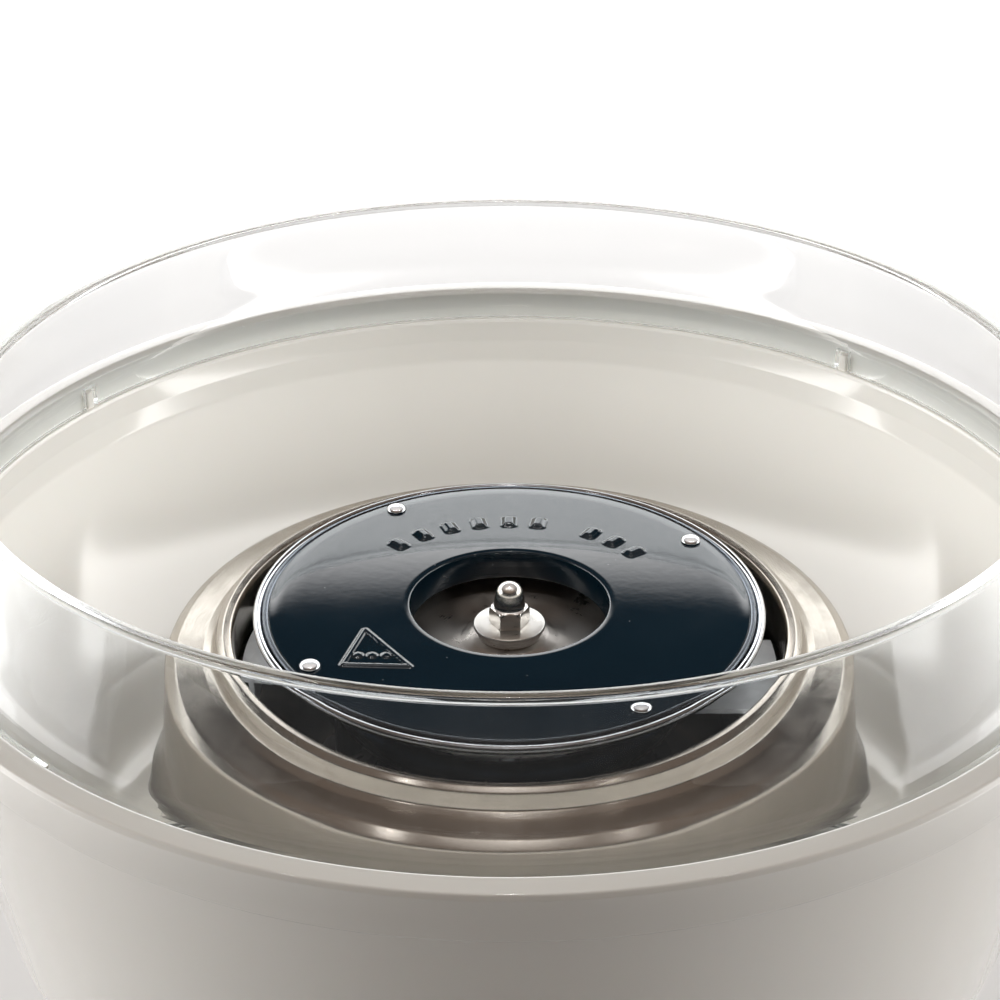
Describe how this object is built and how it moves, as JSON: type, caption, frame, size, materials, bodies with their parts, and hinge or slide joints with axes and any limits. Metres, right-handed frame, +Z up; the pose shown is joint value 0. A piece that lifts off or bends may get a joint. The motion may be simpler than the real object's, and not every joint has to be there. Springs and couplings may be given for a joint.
{
  "type": "cotton candy machine",
  "caption": "Countertop cotton candy machine: pedestal motor base, heated spinning head in a steel collar, lift-off collecting bowl and clear splash guard.",
  "frame": {"origin": "centre of the machine on the table, on the head's spin axis at the plane the suction feet stand on", "axes": "+Z up along the spin axis, the rocker switch faces -Y, the power cord leaves at +Y"},
  "size_m": [0.2694, 0.2694, 0.2403],
  "materials": {
    "housing_plastic": "satin moulded, warm white",
    "bowl_plastic": "glossy moulded, warm ivory",
    "clear_plastic": "clear, glossy",
    "black_plastic": "fine texture, black",
    "board_plastic": "green resin board",
    "natural_plastic": "natural nylon",
    "switch_red": "glossy red",
    "black_rubber": "matt black",
    "white_cord": "satin white jacket",
    "wire_insulation": "satin coloured insulation",
    "stainless": "polished spun stainless steel",
    "zinc_steel": "zinc plated",
    "galvanised": "galvanised, faint spangle",
    "bright_nickel": "bright nickel plate",
    "ground_steel": "ground steel",
    "core_steel": "stacked sheet steel",
    "aluminium_sheet": "spun, satin bright",
    "black_enamel": "gloss black enamel",
    "heater_sheath": "heat-tinted sheath",
    "ceramic": "white glazed ceramic",
    "ferrite": "matt dark ferrite",
    "carbon": "matt carbon",
    "bronze": "sintered bronze",
    "copper": "enamelled copper",
    "brass_hub": "turned brass"
  },
  "bodies": {
    "base": {"base_housing": "housing_plastic", "bottom_plate": "black_plastic", "suction_feet": "black_rubber", "bottom_screws": "zinc_steel", "heat_collar": "stainless", "collar_screws": "zinc_steel", "heater_reflector": "aluminium_sheet", "heater_element": "heater_sheath", "heater_insulators": "ceramic", "heater_clips": "galvanised", "heater_bracket": "galvanised", "thermal_cutout": "ceramic", "reflector_standoffs": "zinc_steel", "standoff_screws": "zinc_steel", "motor_bracket": "galvanised", "bracket_grommets": "black_rubber", "bracket_screws": "zinc_steel", "motor_can": "zinc_steel", "motor_end_cap": "natural_plastic", "motor_magnets": "ferrite", "motor_brushes": "carbon", "motor_bushes": "bronze", "motor_screws": "zinc_steel", "rectifier_board": "board_plastic", "rectifier_parts": "black_plastic", "board_screws": "zinc_steel", "switch_body": "black_plastic", "power_cord": "white_cord", "cord_strain_relief": "black_rubber", "power_plug": "natural_plastic", "plug_pins": "bright_nickel", "wiring": "wire_insulation"},
    "head": {"motor_shaft": "ground_steel", "thrust_washers": "ground_steel", "armature_core": "core_steel", "armature_windings": "copper", "commutator": "copper", "hub_seat": "brass_hub", "hub_grub_screw": "core_steel", "sugar_pan": "aluminium_sheet", "cover_plate": "black_enamel", "cover_rivets": "aluminium_sheet", "hub_washers": "bright_nickel", "dome_nut": "bright_nickel"},
    "rocker": {"switch_rocker": "switch_red"},
    "bowl": {"bowl": "bowl_plastic"},
    "guard": {"splash_guard": "clear_plastic"}
  },
  "joints": [
    {"name": "head_spin", "type": "hinge", "parent": "base", "child": "head", "pos_m": [0, 0, 0.188], "axis": [0, 0, 1], "continuous": true},
    {"name": "bowl_lift", "type": "slide", "parent": "base", "child": "bowl", "axis": [0, 0, 1], "range_m": [0, 0.11]},
    {"name": "guard_lift", "type": "slide", "parent": "bowl", "child": "guard", "axis": [0, 0, 1], "range_m": [0, 0.06]},
    {"name": "rocker_tilt", "type": "hinge", "parent": "base", "child": "rocker", "pos_m": [0, -0.09492, 0.04186], "axis": [1, 0, 0], "range_deg": [-20, 0]}
  ]
}
